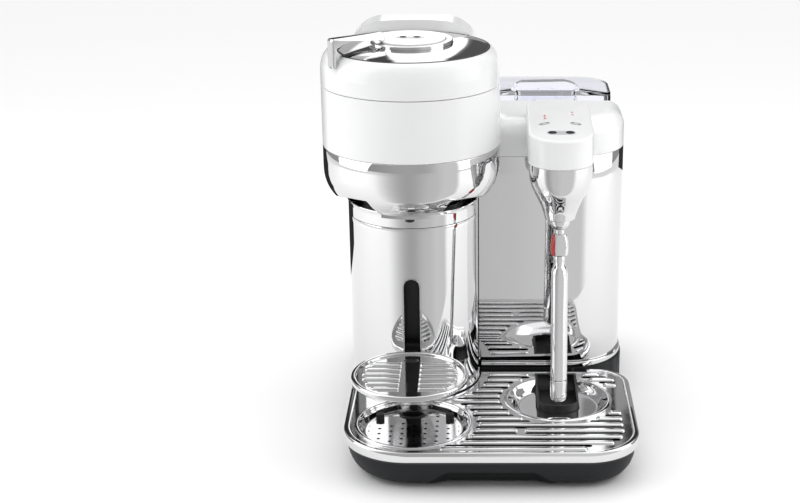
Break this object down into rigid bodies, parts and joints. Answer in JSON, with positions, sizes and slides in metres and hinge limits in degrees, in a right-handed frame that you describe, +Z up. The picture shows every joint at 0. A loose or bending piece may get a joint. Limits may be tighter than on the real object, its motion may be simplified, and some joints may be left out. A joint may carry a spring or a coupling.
{
  "type": "capsule coffee machine",
  "caption": "Capsule coffee machine: steel column with a bowl-shaped brewing head, slotted cup support, low drip tray, steam wand on a tower and a clear rear water tank.",
  "frame": {"origin": "centre of the footprint at table height, under the feet", "axes": "+Z up, the front faces -Y, +X to the right seen from the front"},
  "size_m": [0.3046, 0.387, 0.403],
  "materials": {
    "white_gloss": "glossy, very light white",
    "polished_steel": "mirror polished",
    "satin_steel": "bright polished",
    "dark_plastic": "satin, charcoal",
    "black_plastic": "satin black",
    "rubber": "matt",
    "clear_tank": "clear, slightly blue",
    "red_marker": "glossy red",
    "red_light": "small lamp lens",
    "grey_plastic": "satin grey",
    "circuit_board": "satin",
    "heater_aluminium": "cast",
    "boiler_brass": "satin",
    "hose_silicone": "silicone hose"
  },
  "bodies": {
    "base": {"base_feet": "rubber", "base_housing": "dark_plastic", "bowl_underside": "dark_plastic", "brew_chamber": "dark_plastic", "coffee_outlet": "black_plastic", "collar_ring": "polished_steel", "column_shell": "polished_steel", "control_board": "circuit_board", "foot_trim": "polished_steel", "head_band": "white_gloss", "head_bowl": "polished_steel", "hinge_pin": "satin_steel", "power_inlet": "black_plastic", "rear_cover": "white_gloss", "rear_shell": "polished_steel", "slot_rail": "black_plastic", "spin_motor": "heater_aluminium", "spout_neck": "polished_steel", "status_lights": "red_light", "steam_body": "polished_steel", "steam_boiler": "boiler_brass", "steam_cap": "white_gloss", "steam_hose": "hose_silicone", "thermoblock": "heater_aluminium", "tower_cover": "white_gloss", "tower_shell": "polished_steel", "water_pump": "boiler_brass"},
    "tray": {"drip_pan": "dark_plastic", "tray_rim": "polished_steel", "drip_plate": "satin_steel", "coffee_dish": "satin_steel", "dish_pads": "rubber", "keyhole_liner": "black_plastic", "milk_dish": "satin_steel", "purge_well": "black_plastic", "tray_feet": "rubber"},
    "cup_support": {"support_rim": "polished_steel", "support_plate": "satin_steel", "support_carriage": "black_plastic"},
    "lid": {"lid_shell": "white_gloss", "lid_dome": "polished_steel", "lid_liner": "black_plastic", "needle_plate": "satin_steel", "hinge_cowl": "white_gloss", "dial_face": "white_gloss"},
    "lever": {"lever_ring": "polished_steel", "lever_blade": "polished_steel"},
    "brew_key": {"brew_button": "grey_plastic"},
    "wand": {"wand_ball": "polished_steel", "wand_grip": "polished_steel", "grip_marker": "red_marker", "wand_tube": "polished_steel", "wand_tip": "polished_steel"},
    "tank": {"water_tank": "clear_tank"},
    "tank_cover": {"tank_lid": "clear_tank"},
    "holder": {"capsule_holder": "black_plastic"},
    "bin": {"capsule_bin": "black_plastic"},
    "left_key": {"left_button": "grey_plastic"},
    "right_key": {"right_button": "grey_plastic"},
    "centre_key": {"centre_button": "grey_plastic"}
  },
  "joints": [
    {"name": "tray_slide", "type": "slide", "parent": "base", "child": "tray", "axis": [0, -1, 0], "range_m": [0, 0.2]},
    {"name": "cup_support_height", "type": "slide", "parent": "base", "child": "cup_support", "axis": [0, 0, 1], "range_m": [-0.024, 0.065]},
    {"name": "lid_hinge", "type": "hinge", "parent": "base", "child": "lid", "pos_m": [-0.0663, 0.0785, 0.345], "axis": [-1, 0, 0], "range_deg": [0, 75]},
    {"name": "lever_turn", "type": "hinge", "parent": "lid", "child": "lever", "pos_m": [-0.0663, -0.0195, 0.39], "axis": [0, 0, 1], "range_deg": [0, 60]},
    {"name": "brew_press", "type": "slide", "parent": "lid", "child": "brew_key", "axis": [0, 0, -1], "range_m": [0, 0.0008], "stiffness_N_per_m": 300, "springref_m": -0.001},
    {"name": "wand_tilt", "type": "hinge", "parent": "base", "child": "wand", "pos_m": [0.0767, -0.0655, 0.226], "axis": [-1, 0, 0], "range_deg": [-10, 30]},
    {"name": "tank_lift", "type": "slide", "parent": "base", "child": "tank", "axis": [0, 0, 1], "range_m": [0, 0.12]},
    {"name": "tank_lid_lift", "type": "slide", "parent": "tank", "child": "tank_cover", "axis": [0, 0, 1], "range_m": [0, 0.06]},
    {"name": "capsule_spin", "type": "hinge", "parent": "base", "child": "holder", "pos_m": [-0.0663, -0.0195, 0.31], "axis": [0, 0, 1], "continuous": true},
    {"name": "bin_slide", "type": "slide", "parent": "base", "child": "bin", "axis": [0, 1, 0], "range_m": [0, 0.085]},
    {"name": "left_press", "type": "slide", "parent": "base", "child": "left_key", "axis": [0, 0.0654, -0.9979], "range_m": [0, 0.0012], "stiffness_N_per_m": 300, "springref_m": -0.001},
    {"name": "right_press", "type": "slide", "parent": "base", "child": "right_key", "axis": [0, 0.0654, -0.9979], "range_m": [0, 0.0012], "stiffness_N_per_m": 300, "springref_m": -0.001},
    {"name": "centre_press", "type": "slide", "parent": "base", "child": "centre_key", "axis": [0, 0.0654, -0.9979], "range_m": [0, 0.0012], "stiffness_N_per_m": 300, "springref_m": -0.001}
  ]
}
